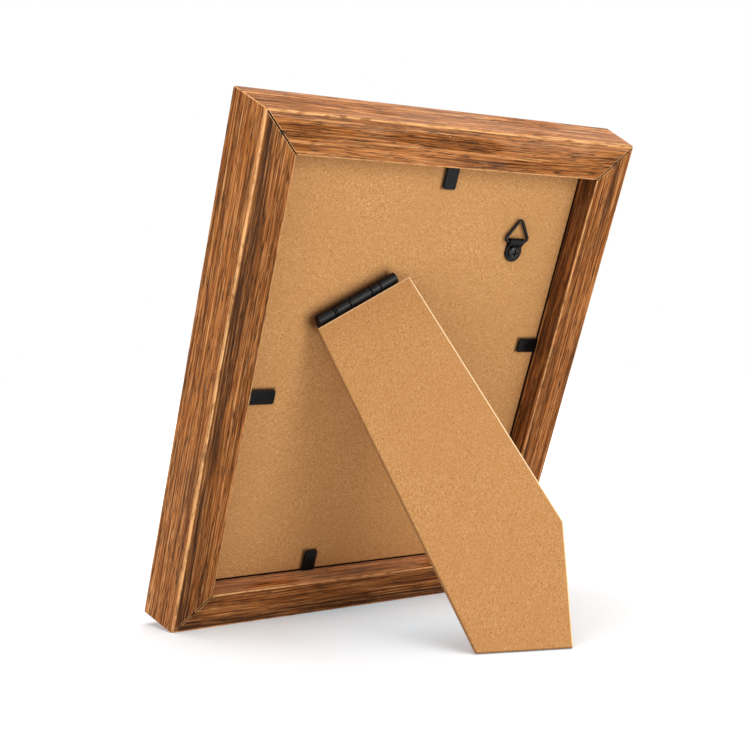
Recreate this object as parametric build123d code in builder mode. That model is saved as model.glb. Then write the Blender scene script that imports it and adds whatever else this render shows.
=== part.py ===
from build123d import *
from math import atan2, cos, degrees, radians, sin, tan
import os

# An easel back photo frame, standing upright on its lower back edge and its strut.
# Millimetres and degrees. The picture faces -Y, the back faces +Y and +Z is up.
# In the frame's own planes, x runs to the right as seen from behind, y runs up the
# frame and z comes out of the back.

# The picture and what is stacked with it in the rabbet
PICTURE_WIDTH = 203.2
PICTURE_HEIGHT = 254.0
GLASS_THICKNESS = 2.0
PRINT_THICKNESS = 0.4
BOARD_THICKNESS = 3.0
RABBET_PLAY = 1.2  # between the picture's edge and the rabbet wall
BOARD_PLAY = 0.6  # between the board's edge and the rabbet wall

# The moulding
RAIL_WIDTH = 22.0  # back face, from the outside to the rabbet wall
RAIL_DEPTH = 31.0
SIDE_FLARE = 3.8  # how much further out the moulding's front edge is than its back edge
RECESS = 15.0  # from the back face down to the board
LIP = 6.0  # how far the front lip covers the picture's space
OUTER_EDGE_RADIUS = 1.5
INNER_EDGE_RADIUS = 0.8
LIP_EDGE_RADIUS = 3.0
MITRE_GAP = 0.1  # glue line between two rails

# The V-shaped corner nails
NAIL_LEG = 3.0
NAIL_SHEET = 0.6
NAIL_LENGTH = 7.0

# The retaining tabs: where each stands along its wall, and how far it reaches over the board
TAB_WIDTH = 8.4
TAB_SHEET = 1.5
TAB_CORNER_RADIUS = 1.5
TAB_ROOT_LENGTH = 6.0
TAB_ROOT_TIP = 2.5
TAB_BEND_CLEARANCE = 0.3
TAB_SEAT = 0.1  # paint between the tab and the board
TOP_TAB_X = 7.2
TOP_TAB_REACH = 15.4
BOTTOM_TAB_X = -32.4
BOTTOM_TAB_REACH = 13.2
LEFT_TAB_Y = 138.6
LEFT_TAB_REACH = 23.5
RIGHT_TAB_Y = 167.5
RIGHT_TAB_REACH = 14.6

# The stance
LEAN = 21.5  # of the frame, backwards from upright
OPEN_ANGLE = 43.0  # between the board and the strut

# The hinge: its place on the board is where the strut's upper left corner meets its axis
HINGE_X = -65.6
HINGE_Y = 182.7
SLANT = 30.5  # of the hinge axis, from level
BARREL_RADIUS = 3.2
BARREL_INSET = 3.4  # from the strut's left side to the barrel
KNUCKLES = (10.2, 10.4, 14.4, 6.2, 11.2)
KNUCKLE_GAP = 0.3
LEAF_THICKNESS = 1.0
LEAF_WIDTH = 16.0  # from the hinge axis
LEAF_CORNER_RADIUS = 2.0
LEAF_CLEARANCE = 0.4  # between a leaf's edge and the other leaf's knuckles
PIN_CLEARANCE = 0.05
SPUR_RADIUS = 0.9
SPUR_LENGTH = 1.6
SPUR_TAPER = 15.0
SPUR_COUNT = 3
SPUR_SPACING = 17.0
STOP_ANGLE = 165.0  # round the barrel from the hinge's outer side to the stop
STOP_DEPTH = 1.6
STOP_PLAY = 2.0
LUG_ANGLE = 50.0
LUG_ROOT = 0.3  # how far the lug runs back into its own knuckle

# The strut
STRUT_THICKNESS = 2.5
STRUT_TOP_WIDTH = 62.2
STRUT_SET = 0.5  # from the hinge axis out to the strut's inner face
STRUT_HEAD_GAP = 0.6  # between the barrel and the strut's upper edge
FOOT_CORNER_X = 25.8  # the square corner between its two feet, along the hinge
FOOT_SPAN = 47.5
SIDE_FOOT_LENGTH = 68.0
STRUT_CORNER_RADIUS = 1.0
STRUT_EDGE_CHAMFER = 0.4

# The wall hanger
HANGER_SIDE = 37.8  # from the right rabbet wall to its screw
HANGER_DROP = 50.5  # from the top rabbet wall down to its screw
STRAP_SHEET = 0.8
STRAP_WIDTH = 12.2
STRAP_END_RADIUS = 5.9
BAR_RISE = 6.9  # from the screw up to the ring's straight bar
WIRE_RADIUS = 1.0
WIRE_CLEARANCE = 0.1
RING_BASE = 19.0  # before its corners are rounded
RING_RISE = 13.9
RING_BEND = 1.9
SCREW_HEAD_RADIUS = 3.7
SCREW_HEAD_HEIGHT = 2.2
SCREW_CROWN_RADIUS = 1.8
SCREW_SHANK_RADIUS = 1.45
SCREW_POINT_CHAMFER = 1.0
SCREW_BITE = 2.4  # depth into the board
SCREW_HOLE_CLEARANCE = 0.15
CROSS_LENGTH = 4.0
CROSS_WIDTH = 1.0
CROSS_DEPTH = 1.2


def placed(plane, x=0.0, y=0.0, z=0.0, turn=(0, 0, 0)):
    """A plane carried by another one: shifted in it, then turned about its own axes."""
    return Plane(plane.location * Location((x, y, z), turn))


def across(plane, x=0.0):
    """The plane square to another one's x axis, seen along that axis."""
    return Plane(placed(plane, x=x).origin, x_dir=plane.y_dir, z_dir=plane.x_dir)


# Sizes that follow from the ones above
opening_width = PICTURE_WIDTH + 2 * RABBET_PLAY
opening_height = PICTURE_HEIGHT + 2 * RABBET_PLAY
frame_width = opening_width + 2 * RAIL_WIDTH
frame_height = opening_height + 2 * RAIL_WIDTH
side_slope = degrees(atan2(SIDE_FLARE, RAIL_DEPTH))
seat_depth = RECESS + BOARD_THICKNESS + PRINT_THICKNESS + GLASS_THICKNESS

# The back face leans, and its rounded lower edge touches the table
lean_cos = cos(radians(LEAN))
lean_sin = sin(radians(LEAN))
edge_set = OUTER_EDGE_RADIUS * tan(radians(45 - side_slope / 2))
edge_drop = edge_set * lean_cos + OUTER_EDGE_RADIUS * (lean_sin - 1)
back_face = Plane((0, 0, -edge_drop), x_dir=(-1, 0, 0), z_dir=(0, lean_cos, -lean_sin))
board_face = back_face.offset(-RECESS)

# Corner nails: thin angles driven flush into the back, one leg in each rail
with BuildPart() as v_nails:
    nail_x = frame_width / 2 - RAIL_WIDTH / 2
    nail_low = RAIL_WIDTH / 2
    nail_high = frame_height - RAIL_WIDTH / 2
    corners = ((-nail_x, nail_low), (nail_x, nail_low), (nail_x, nail_high), (-nail_x, nail_high))
    with BuildSketch(back_face):
        for turns, (x, y) in enumerate(corners):
            with Locations(Location((x, y, 0), (0, 0, 90 * turns))):
                Rectangle(NAIL_LEG, NAIL_SHEET, align=(Align.MIN, Align.MIN))
                Rectangle(NAIL_SHEET, NAIL_LEG, align=(Align.MIN, Align.MIN))
    extrude(amount=-NAIL_LENGTH)

# Retaining tabs: each has a plane on the board at the foot of its wall, with x away from the wall
tab_face = board_face.offset(TAB_SEAT)
left_wall = placed(tab_face, x=-opening_width / 2, y=LEFT_TAB_Y)
bottom_wall = placed(tab_face, x=BOTTOM_TAB_X, y=RAIL_WIDTH, turn=(0, 0, 90))
right_wall = placed(tab_face, x=opening_width / 2, y=RIGHT_TAB_Y, turn=(0, 0, 180))
top_wall = placed(tab_face, x=TOP_TAB_X, y=frame_height - RAIL_WIDTH, turn=(0, 0, -90))

# The shanks of the tabs, driven into the rabbet walls
with BuildPart() as tab_roots:
    for wall in (left_wall, bottom_wall, right_wall, top_wall):
        with BuildSketch(wall):
            with BuildLine():
                Polyline(
                    (0, -TAB_WIDTH / 2),
                    (0, TAB_WIDTH / 2),
                    (-TAB_ROOT_LENGTH, TAB_ROOT_TIP / 2),
                    (-TAB_ROOT_LENGTH, -TAB_ROOT_TIP / 2),
                    close=True,
                )
            make_face()
        extrude(amount=TAB_SHEET)


def tab(wall, reach):
    """A flat flap over the board, round where it bends at the wall and rounded at its free corners."""
    bend = TAB_SHEET / 2 + TAB_BEND_CLEARANCE
    with BuildPart() as flap:
        with BuildSketch(placed(wall, turn=(90, 0, 0))):
            with Locations((bend, TAB_SHEET / 2)):
                Circle(TAB_SHEET / 2)
            with Locations((bend, 0)):
                Rectangle(reach - bend, TAB_SHEET, align=(Align.MIN, Align.MIN))
        extrude(amount=TAB_WIDTH / 2, both=True)
        upright = flap.edges().filter_by(Axis(wall.origin, wall.z_dir))
        fillet(upright.group_by(Axis(wall.origin, wall.x_dir))[-1], radius=TAB_CORNER_RADIUS)
    return flap


tab_left = tab(left_wall, LEFT_TAB_REACH)
tab_bottom = tab(bottom_wall, BOTTOM_TAB_REACH)
tab_right = tab(right_wall, RIGHT_TAB_REACH)
tab_top = tab(top_wall, TOP_TAB_REACH)


def rail(outer_edge, length):
    """A mitred length of moulding. Its plane has x into the opening and y out of the back."""
    with BuildPart() as moulding:
        with BuildSketch(outer_edge) as section:
            with BuildLine():
                Polyline(
                    (0, 0),
                    (RAIL_WIDTH, 0),
                    (RAIL_WIDTH, -seat_depth),
                    (RAIL_WIDTH + LIP, -seat_depth),
                    (RAIL_WIDTH + LIP, -RAIL_DEPTH),
                    (-SIDE_FLARE, -RAIL_DEPTH),
                    close=True,
                )
            make_face()
            fillet(section.vertices().sort_by(Axis.X)[:2], radius=OUTER_EDGE_RADIUS)
            fillet(section.vertices().group_by(Axis.Y)[-1].sort_by(Axis.X)[-1], radius=INNER_EDGE_RADIUS)
            fillet(section.vertices().group_by(Axis.X)[-1].sort_by(Axis.Y)[0], radius=LIP_EDGE_RADIUS)
        extrude(amount=length / 2 + SIDE_FLARE, both=True)
        for end, mitre in ((1, 45), (-1, 135)):
            mitre_plane = placed(outer_edge, z=end * (length / 2 - MITRE_GAP), turn=(0, mitre, 0))
            split(bisect_by=mitre_plane, keep=Keep.BOTTOM)
        add(v_nails.part, mode=Mode.SUBTRACT)
        add(tab_roots.part, mode=Mode.SUBTRACT)
    return moulding


rail_left = rail(placed(back_face, x=-frame_width / 2, y=frame_height / 2, turn=(90, 0, 0)), frame_height)
rail_right = rail(placed(back_face, x=frame_width / 2, y=frame_height / 2, turn=(90, 180, 0)), frame_height)
rail_bottom = rail(placed(back_face, turn=(90, 90, 0)), frame_width)
rail_top = rail(placed(back_face, y=frame_height, turn=(90, -90, 0)), frame_width)

# Glass on the lip, then the print, then the board, all centred in the rabbet
stack_middle = frame_height / 2
with BuildPart() as glass_pane:
    with BuildSketch(placed(back_face, y=stack_middle, z=-seat_depth)):
        Rectangle(PICTURE_WIDTH, PICTURE_HEIGHT)
    extrude(amount=GLASS_THICKNESS)

with BuildPart() as picture_print:
    with BuildSketch(placed(back_face, y=stack_middle, z=-seat_depth + GLASS_THICKNESS)):
        Rectangle(PICTURE_WIDTH, PICTURE_HEIGHT)
    extrude(amount=PRINT_THICKNESS)

# Hinge planes: x along the axis, with z out of the board for one leaf and out of the strut for the other
board_hinge = placed(board_face, x=HINGE_X, y=HINGE_Y, z=BARREL_RADIUS, turn=(0, 0, SLANT))
strut_hinge = placed(board_hinge, turn=(-OPEN_ANGLE, 0, 0))
hinge_axis = Axis(board_hinge.origin, board_hinge.x_dir)
barrel_length = sum(KNUCKLES)
barrel_middle = BARREL_INSET + barrel_length / 2
bore_radius = BARREL_RADIUS - LEAF_THICKNESS
leaf_edge = BARREL_RADIUS + LEAF_CLEARANCE
knuckle_starts = [BARREL_INSET + sum(KNUCKLES[:place]) for place in range(len(KNUCKLES))]


def leaf(hinge, side, fixing_z, places):
    """A hinge leaf: a plate with spurs on the face it is fixed by, and rolled knuckles."""
    plate_z = fixing_z - LEAF_THICKNESS if side > 0 else fixing_z
    with BuildPart() as stamping:
        with BuildSketch(placed(hinge, z=plate_z)) as outline:
            with Locations((barrel_middle, -leaf_edge)):
                Rectangle(barrel_length, LEAF_WIDTH - leaf_edge, align=(Align.CENTER, Align.MAX))
            fillet(outline.vertices().group_by(Axis.Y)[0], radius=LEAF_CORNER_RADIUS)
        extrude(amount=LEAF_THICKNESS)
        with BuildSketch(placed(hinge, z=fixing_z)):
            with Locations((barrel_middle, -(leaf_edge + LEAF_WIDTH) / 2)):
                with GridLocations(SPUR_SPACING, 0, SPUR_COUNT, 1):
                    Circle(SPUR_RADIUS)
        extrude(amount=side * SPUR_LENGTH, taper=SPUR_TAPER)
        for place in places:
            with BuildSketch(across(hinge, knuckle_starts[place] + KNUCKLE_GAP / 2)):
                Circle(BARREL_RADIUS)
                with Locations((0, plate_z)):
                    Rectangle(leaf_edge, LEAF_THICKNESS, align=(Align.MAX, Align.MIN))
                Circle(bore_radius, mode=Mode.SUBTRACT)
            extrude(amount=KNUCKLES[place] - KNUCKLE_GAP)
    return stamping


def barrel_sector(hinge, start, length, inner, outer, top_angle, span):
    """A stretch of barrel wall, span wide, turned back from top_angle round the hinge axis."""
    radial = placed(hinge, turn=(-top_angle, 0, 0))
    with BuildPart() as sector:
        with BuildSketch(Plane(radial.origin, x_dir=radial.x_dir, z_dir=-radial.y_dir)):
            with Locations((start, inner)):
                Rectangle(length, outer - inner, align=(Align.MIN, Align.MIN))
        revolve(axis=hinge_axis, revolution_arc=span)
    return sector


# The board's leaf is flush with the barrel's inner side and has the end and middle knuckles.
# A notch in the middle one takes the stop lug.
stop_x = knuckle_starts[2] + KNUCKLE_GAP / 2
board_stamping = leaf(board_hinge, -1, -BARREL_RADIUS, (0, 2, 4))
stop_notch = barrel_sector(
    board_hinge,
    stop_x,
    STOP_DEPTH,
    bore_radius - PIN_CLEARANCE,
    BARREL_RADIUS + LEAF_CLEARANCE,
    STOP_ANGLE + STOP_PLAY,
    OPEN_ANGLE + LUG_ANGLE + 2 * STOP_PLAY,
)
with BuildPart() as hinge_board_leaf:
    add(board_stamping.part)
    add(stop_notch.part, mode=Mode.SUBTRACT)

# The strut's leaf is level with the axis and has the other two knuckles. Its lug meets the
# notch's end when the strut is fully open.
strut_stamping = leaf(strut_hinge, 1, STRUT_SET, (1, 3))
stop_lug = barrel_sector(
    strut_hinge,
    stop_x - KNUCKLE_GAP - LUG_ROOT,
    STOP_DEPTH + LUG_ROOT,
    bore_radius,
    BARREL_RADIUS,
    STOP_ANGLE - OPEN_ANGLE,
    LUG_ANGLE,
)
with BuildPart() as hinge_strut_leaf:
    add(strut_stamping.part)
    add(stop_lug.part)

with BuildPart() as hinge_pin:
    with BuildSketch(across(board_hinge, BARREL_INSET)):
        Circle(bore_radius - PIN_CLEARANCE)
    extrude(amount=barrel_length)

# The wall hanger's plane lies on the board under its screw
hanger_x = opening_width / 2 - HANGER_SIDE
hanger_y = frame_height - RAIL_WIDTH - HANGER_DROP
hanger = placed(board_face, x=hanger_x, y=hanger_y)
strap_thickness = 2 * STRAP_SHEET
eye_radius = WIRE_RADIUS + WIRE_CLEARANCE
eye_outer = eye_radius + STRAP_SHEET
ring_plane = placed(hanger, y=BAR_RISE, z=eye_outer)

# Strap folded round the ring's straight bar, its two layers lying together under the screw
with BuildPart() as hanger_strap:
    with BuildSketch(hanger):
        Circle(STRAP_END_RADIUS)
        with Locations((0, BAR_RISE)):
            Rectangle(STRAP_WIDTH, eye_outer, align=(Align.CENTER, Align.MAX))
        make_hull()
    extrude(amount=strap_thickness)
    with BuildSketch(across(ring_plane)):
        Circle(eye_outer)
    extrude(amount=STRAP_WIDTH / 2, both=True)
    with BuildSketch(across(ring_plane)):
        Circle(eye_radius)
    extrude(amount=STRAP_WIDTH, both=True, mode=Mode.SUBTRACT)
    with Locations(placed(hanger, z=strap_thickness)):
        Hole(SCREW_SHANK_RADIUS + SCREW_HOLE_CLEARANCE)

# Triangle of round wire, closed through the strap's eye
with BuildSketch(ring_plane) as ring_outline:
    with BuildLine():
        Polyline((-RING_BASE / 2, 0), (RING_BASE / 2, 0), (0, RING_RISE), close=True)
    make_face()
    fillet(ring_outline.vertices(), radius=RING_BEND)
ring_path = ring_outline.sketch.face().outer_wire()
with BuildPart() as hanger_ring:
    with BuildSketch(Plane(ring_path @ 0, z_dir=ring_path % 0)):
        Circle(WIRE_RADIUS)
    sweep(path=ring_path)

# Pan-head screw with a cross recess, its point short of the board's front
screw_axis = Axis(hanger.origin, hanger.z_dir)
with BuildPart() as hanger_screw:
    with BuildSketch(placed(hanger, z=strap_thickness)):
        Circle(SCREW_HEAD_RADIUS)
    extrude(amount=SCREW_HEAD_HEIGHT)
    fillet(hanger_screw.edges().sort_by(screw_axis)[-1], radius=SCREW_CROWN_RADIUS)
    with BuildSketch(placed(hanger, z=-SCREW_BITE)):
        Circle(SCREW_SHANK_RADIUS)
    extrude(amount=SCREW_BITE + strap_thickness)
    chamfer(hanger_screw.edges().sort_by(screw_axis)[0], length=SCREW_POINT_CHAMFER)
    with BuildSketch(placed(hanger, z=strap_thickness + SCREW_HEAD_HEIGHT)):
        Rectangle(CROSS_LENGTH, CROSS_WIDTH)
        Rectangle(CROSS_WIDTH, CROSS_LENGTH)
    extrude(amount=-CROSS_DEPTH, mode=Mode.SUBTRACT)

# Backing board, with the holes that the hinge spurs and the screw have made in it
with BuildPart() as backing_board:
    with BuildSketch(placed(board_face, y=stack_middle)):
        Rectangle(opening_width - 2 * BOARD_PLAY, opening_height - 2 * BOARD_PLAY)
    extrude(amount=-BOARD_THICKNESS)
    add(hinge_board_leaf.part, mode=Mode.SUBTRACT)
    add(hanger_screw.part, mode=Mode.SUBTRACT)

# Strut: its standing foot is cut along the line where its inner face meets the table, and
# its side foot lies along the frame's side when it is folded
strut_face = placed(strut_hinge, z=STRUT_SET)


def table_y(x):
    """Where the strut's inner face meets the table, at x along the hinge."""
    return -(strut_face.origin.Z + x * strut_face.x_dir.Z) / strut_face.y_dir.Z


strut_head = -(BARREL_RADIUS + STRUT_HEAD_GAP)
foot_corner = Vector(FOOT_CORNER_X, table_y(FOOT_CORNER_X))
foot_end = Vector(FOOT_CORNER_X - FOOT_SPAN, table_y(FOOT_CORNER_X - FOOT_SPAN))
side_foot_end = foot_corner + Vector(sin(radians(SLANT)), cos(radians(SLANT))) * SIDE_FOOT_LENGTH
with BuildPart() as strut:
    with BuildSketch(strut_face) as outline:
        with BuildLine():
            Polyline(
                (0, strut_head),
                (STRUT_TOP_WIDTH, strut_head),
                side_foot_end,
                foot_corner,
                foot_end,
                close=True,
            )
        make_face()
        fillet(outline.vertices(), radius=STRUT_CORNER_RADIUS)
    extrude(amount=STRUT_THICKNESS)
    outer_face = strut.faces().sort_by(Axis(strut_face.origin, strut_face.z_dir))[-1]
    chamfer(outer_face.edges(), length=STRUT_EDGE_CHAMFER)
    add(hinge_strut_leaf.part, mode=Mode.SUBTRACT)

pieces = {
    "rail_top": rail_top,
    "rail_bottom": rail_bottom,
    "rail_left": rail_left,
    "rail_right": rail_right,
    "v_nails": v_nails,
    "glass_pane": glass_pane,
    "picture_print": picture_print,
    "backing_board": backing_board,
    "tab_roots": tab_roots,
    "tab_top": tab_top,
    "tab_bottom": tab_bottom,
    "tab_left": tab_left,
    "tab_right": tab_right,
    "hinge_board_leaf": hinge_board_leaf,
    "hinge_strut_leaf": hinge_strut_leaf,
    "hinge_pin": hinge_pin,
    "strut": strut,
    "hanger_strap": hanger_strap,
    "hanger_ring": hanger_ring,
    "hanger_screw": hanger_screw,
}

# The origin goes to the table, under the middle of the whole frame
middle_y = Compound([piece.part for piece in pieces.values()]).bounding_box().center().Y
to_origin = Location((0, -middle_y, 0))

os.makedirs("parts", exist_ok=True)
for name, piece in pieces.items():
    solid = piece.part.moved(to_origin)
    solid.label = name
    export_step(solid, f"parts/{name}.step")
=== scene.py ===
import math

import bmesh
import bpy
import numpy as np
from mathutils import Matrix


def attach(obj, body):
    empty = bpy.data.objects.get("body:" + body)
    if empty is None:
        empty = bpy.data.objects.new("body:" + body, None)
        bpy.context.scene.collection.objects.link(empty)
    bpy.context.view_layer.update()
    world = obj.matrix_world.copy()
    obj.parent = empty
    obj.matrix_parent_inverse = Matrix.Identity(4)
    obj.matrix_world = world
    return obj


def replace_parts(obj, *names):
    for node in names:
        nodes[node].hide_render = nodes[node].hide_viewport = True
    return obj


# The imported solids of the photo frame, standing on a table: the picture faces -Y and the strut stands
# out behind. Every piece below is laid over the solid that it stands for.
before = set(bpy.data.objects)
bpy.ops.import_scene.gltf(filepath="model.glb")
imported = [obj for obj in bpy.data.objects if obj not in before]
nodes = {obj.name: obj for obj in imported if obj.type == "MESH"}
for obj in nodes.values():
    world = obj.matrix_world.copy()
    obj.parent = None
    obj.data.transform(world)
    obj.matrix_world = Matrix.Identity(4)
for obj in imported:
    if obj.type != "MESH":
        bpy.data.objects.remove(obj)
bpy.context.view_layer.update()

# The moulding: four lengths of oak planed to an L that holds the glass, flared towards the front, stained
# walnut brown, mitred and glued. Handling has rubbed the stain off the arrises, and the pale lines along them are
# also painted highlights on their rounded edges. Sizes in millimetres.
LEAN = math.radians(21.5)
EDGE_TO_MIDDLE = 61.66819
EDGE_DROP = 0.28475
BACK_WIDTH = 249.6
BACK_HEIGHT = 300.4
RAIL_WIDTH = 22.0
RAIL_DEPTH = 31.0
LIP_WIDTH = 6.0
LIP_DEPTH = 20.4
FLARE = 3.8
MITRE_GAP = 0.02
LIP_EDGE = RAIL_WIDTH + LIP_WIDTH
RAIL_CORNERS = (
    (0, 0),
    (RAIL_WIDTH, 0),
    (RAIL_WIDTH, -LIP_DEPTH),
    (LIP_EDGE, -LIP_DEPTH),
    (LIP_EDGE, -RAIL_DEPTH),
    (-FLARE, -RAIL_DEPTH),
)
RAIL_RADII = (1.5, 0.8, 0.2, 0.4, 3.0, 1.5)
NAIL_PLACE = 10.7
# along the profile: the part of the rabbet painted near-black as shade round and under the board's edge, from the
# inner arris, then the foot of the rabbet's wall and the end of the outer side, from the outer arris
RABBET_SHADE_FROM, RABBET_SHADE_TO = 14.0, 27.0
WALL_END = 43.0
SIDE_END = 32.0


def stand(x, y, z):
    """From millimetres on the frame's back (x to the right as seen from behind, y up it, z out of it) to metres
    on the table: a turn by the lean about the lower back edge, then a shift to the middle of the footprint."""
    back = y * math.sin(LEAN) + z * math.cos(LEAN) - EDGE_TO_MIDDLE
    height = y * math.cos(LEAN) - z * math.sin(LEAN) - EDGE_DROP
    return np.stack(np.broadcast_arrays(-x, back, height), -1) / 1000


def rounded_outline(corners, radii, step, arc_step):
    """A closed outline: at each corner an arc touching both sides, set back by radius / tan(half the angle),
    and between the arcs straight runs with a point about every step."""
    corner = np.array(corners, float)
    radius = np.array(radii, float)[:, None]
    before = np.roll(corner, 1, 0) - corner
    after = np.roll(corner, -1, 0) - corner
    before /= np.linalg.norm(before, axis=1, keepdims=True)
    after /= np.linalg.norm(after, axis=1, keepdims=True)
    half = np.arccos(np.clip((before * after).sum(1, keepdims=True), -1, 1)) / 2
    start = corner + before * radius / np.tan(half)
    end = corner + after * radius / np.tan(half)
    bisector = (before + after) / np.linalg.norm(before + after, axis=1, keepdims=True)
    centre = corner + bisector * radius / np.sin(half)
    runs = []
    for i in range(len(corner)):
        sweep = math.pi - 2 * half[i, 0]
        t = np.linspace(0, 1, max(3, math.ceil(sweep * radius[i, 0] / arc_step) + 1))[:, None]
        first, last = start[i] - centre[i], end[i] - centre[i]
        runs.append(centre[i] + (np.sin((1 - t) * sweep) * first + np.sin(t * sweep) * last) / math.sin(sweep))
        straight = np.roll(start, -1, 0)[i] - end[i]
        t = np.linspace(0, 1, max(1, math.ceil(np.linalg.norm(straight) / step)) + 1)[1:-1, None]
        runs.append(end[i] + t * straight)
    return np.concatenate(runs)


def inward(outline):
    """Unit normals into a closed outline: tangents from the points on either side, given a quarter turn."""
    tangent = np.roll(outline, -1, 0) - np.roll(outline, 1, 0)
    tangent /= np.linalg.norm(tangent, axis=1, keepdims=True)
    x, y = outline.T
    turn = np.sign(np.sum(x * np.roll(y, -1) - y * np.roll(x, -1)))
    return turn * np.stack([-tangent[:, 1], tangent[:, 0]], 1)


def streak(u, v, long, wide, seed):
    """Smooth noise from 0 to 1: seeded random heights on a lattice of cells long by wide, blended in both
    directions with the smoothstep 3t^2 - 2t^3."""
    height = np.random.default_rng(seed).random((97, 89))
    rows, columns = height.shape
    i, j = np.floor(u / long).astype(int), np.floor(v / wide).astype(int)
    f, g = u / long - i, v / wide - j
    f, g = f * f * (3 - 2 * f), g * g * (3 - 2 * g)
    low = height[i % rows, j % columns] * (1 - f) + height[(i + 1) % rows, j % columns] * f
    high = height[i % rows, (j + 1) % columns] * (1 - f) + height[(i + 1) % rows, (j + 1) % columns] * f
    return low * (1 - g) + high * g


def rings(rows, count):
    """Quads between neighbouring rows of a closed outline, its last point joined to its first."""
    i, j = np.meshgrid(np.arange(rows - 1), np.arange(count), indexing="ij")
    k = (j + 1) % count
    return np.stack([i * count + j, i * count + k, (i + 1) * count + k, (i + 1) * count + j], -1).reshape(-1, 4)


def piece(name, points, quads, ends=(), **fields):
    """A smooth mesh at the origin from points in metres. Its faces are turned over where the volume under them
    comes out negative, and each field becomes an attribute of its points."""
    points = points.reshape(-1, 3)
    a, b, c, d = (points[quads[:, k]] - points.mean(0) for k in range(4))
    faces = quads.tolist() + [list(end) for end in ends]
    if np.sum(a * (np.cross(b, c) + np.cross(c, d))) < 0:
        faces = [face[::-1] for face in faces]
    mesh = bpy.data.meshes.new(name)
    mesh.from_pydata(points.tolist(), [], faces)
    mesh.polygons.foreach_set("use_smooth", np.ones(len(faces), bool))
    mesh.set_sharp_from_angle(angle=math.radians(50))
    for field, values in fields.items():
        flat = np.asarray(values, np.float32)
        vector = flat.ndim > 1 and flat.shape[-1] == 3
        attribute = mesh.attributes.new(field, "FLOAT_VECTOR" if vector else "FLOAT", "POINT")
        attribute.data.foreach_set("vector" if vector else "value", flat.ravel())
    made = bpy.data.objects.new(name, mesh)
    bpy.context.scene.collection.objects.link(made)
    return made


def tint(red, green, blue):
    """A colour as a screen shows it, 0 to 255, as the light a shader takes: ((v / 255 + 0.055) / 1.055) ^ 2.4,
    and v / 3295 close to black."""
    light = [((v / 255 + 0.055) / 1.055) ** 2.4 if v > 10 else v / 3295 for v in (red, green, blue)]
    return (*light, 1.0)


def finish(name):
    """A new material: gives it, its shader, and a function that adds a node, sets it up and wires its inputs."""
    material = bpy.data.materials.new(name)
    material.use_nodes = True
    tree = material.node_tree

    def add(kind, inputs=None, **settings):
        made = tree.nodes.new("ShaderNode" + kind)
        for key, value in settings.items():
            setattr(made, key, value)
        for key, value in (inputs or {}).items():
            wire(value, made.inputs[key])
        return made

    def wire(value, socket):
        if isinstance(value, bpy.types.NodeSocket):
            tree.links.new(value, socket)
        else:
            socket.default_value = value

    return material, tree.nodes["Principled BSDF"], add, wire


def grain(add, place, scale, detail, rough, shift=(0, 0, 0)):
    """Noise in a stretched space: places are scaled per metre in each direction, so a small number runs long."""
    space = add("Mapping", {"Vector": place, "Scale": scale, "Location": shift}).outputs[0]
    return add("TexNoise", {"Vector": space, "Scale": 1.0, "Detail": detail, "Roughness": rough}).outputs["Fac"]


def between(add, value, low, high, to_low=0.0, to_high=1.0):
    """A value carried straight from one range to another and held at its ends."""
    limits = {"From Min": low, "From Max": high, "To Min": to_low, "To Max": to_high}
    return add("MapRange", {"Value": value, **limits}).outputs["Result"]


def blended(add, share, under, over):
    """Two colours mixed by a share from 0 to 1."""
    return add("Mix", {0: share, 6: under, 7: over}, data_type="RGBA").outputs[2]


def times(add, first, second):
    """One value times another."""
    return add("Math", {0: first, 1: second}, operation="MULTIPLY").outputs[0]


def shades(add, value, stops):
    """Colours along a value, from stops of (place, colour)."""
    ramp = add("ValToRGB", {"Fac": value})
    marks = ramp.color_ramp.elements
    while len(marks) < len(stops):
        marks.new(0.5)
    for mark, (at, colour) in zip(marks, stops):
        mark.position, mark.color = at, colour
    return ramp.outputs["Color"]


def line(add, value, at, half, soft):
    """A line where a value passes a mark: 1 within half of it, falling to 0 over soft more."""
    past = add("Math", {0: value, 1: at}, operation="SUBTRACT").outputs[0]
    away = add("Math", {0: past}, operation="ABSOLUTE").outputs[0]
    return between(add, away, half, half + soft, 1.0, 0.0)


def either(add, first, second):
    """The larger of two values."""
    return add("Math", {0: first, 1: second}, operation="MAXIMUM").outputs[0]


stained_oak, shader, add, wire = finish("stained_oak")
place = add("Attribute", attribute_name="grain_place").outputs["Vector"]
edges = add("Attribute", attribute_name="edge_place").outputs["Vector"]
outer, inner, mitre = add("SeparateXYZ", {0: edges}).outputs
rubbed = add("Attribute", attribute_name="rubbed").outputs["Fac"]
stain_shade = add("Attribute", attribute_name="stain_and_painted_shade").outputs["Fac"]
sway_space = add("Mapping", {"Vector": place, "Scale": (6, 40, 40)}).outputs[0]
sway = add("TexNoise", {"Vector": sway_space, "Scale": 1.0, "Detail": 2.0}).outputs["Color"]
sway = add("VectorMath", {0: sway, 1: (0.5, 0.5, 0.5)}, operation="SUBTRACT").outputs[0]
sway = add("VectorMath", {0: sway, "Scale": 0.004}, operation="SCALE").outputs[0]
flow = add("VectorMath", {0: place, 1: sway}, operation="ADD").outputs[0]
year = grain(add, flow, (3, 190, 190), 2.0, 0.5)
fibre = grain(add, flow, (17, 900, 700), 4.0, 0.68)
dark_streak = grain(add, flow, (16, 1000, 800), 4.0, 0.64, (1, 2, 3))
pore = grain(add, flow, (90, 2100, 1500), 2.0, 0.5, (3, 0, 0))
fleck = grain(add, flow, (70, 2000, 1300), 2.0, 0.5, (7, 5, 0))
speck = grain(add, place, (420, 900, 900), 1.0, 0.5, (0, 9, 4))
tone = add("Math", {0: between(add, year, 0.3, 0.7, -0.07, 0.07), 1: fibre}, operation="ADD").outputs[0]
colour = shades(
    add,
    tone,
    (
        (0.34, tint(86, 47, 18)),
        (0.43, tint(136, 78, 34)),
        (0.50, tint(170, 101, 47)),
        (0.58, tint(198, 126, 67)),
        (0.70, tint(228, 168, 110)),
    ),
)
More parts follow.
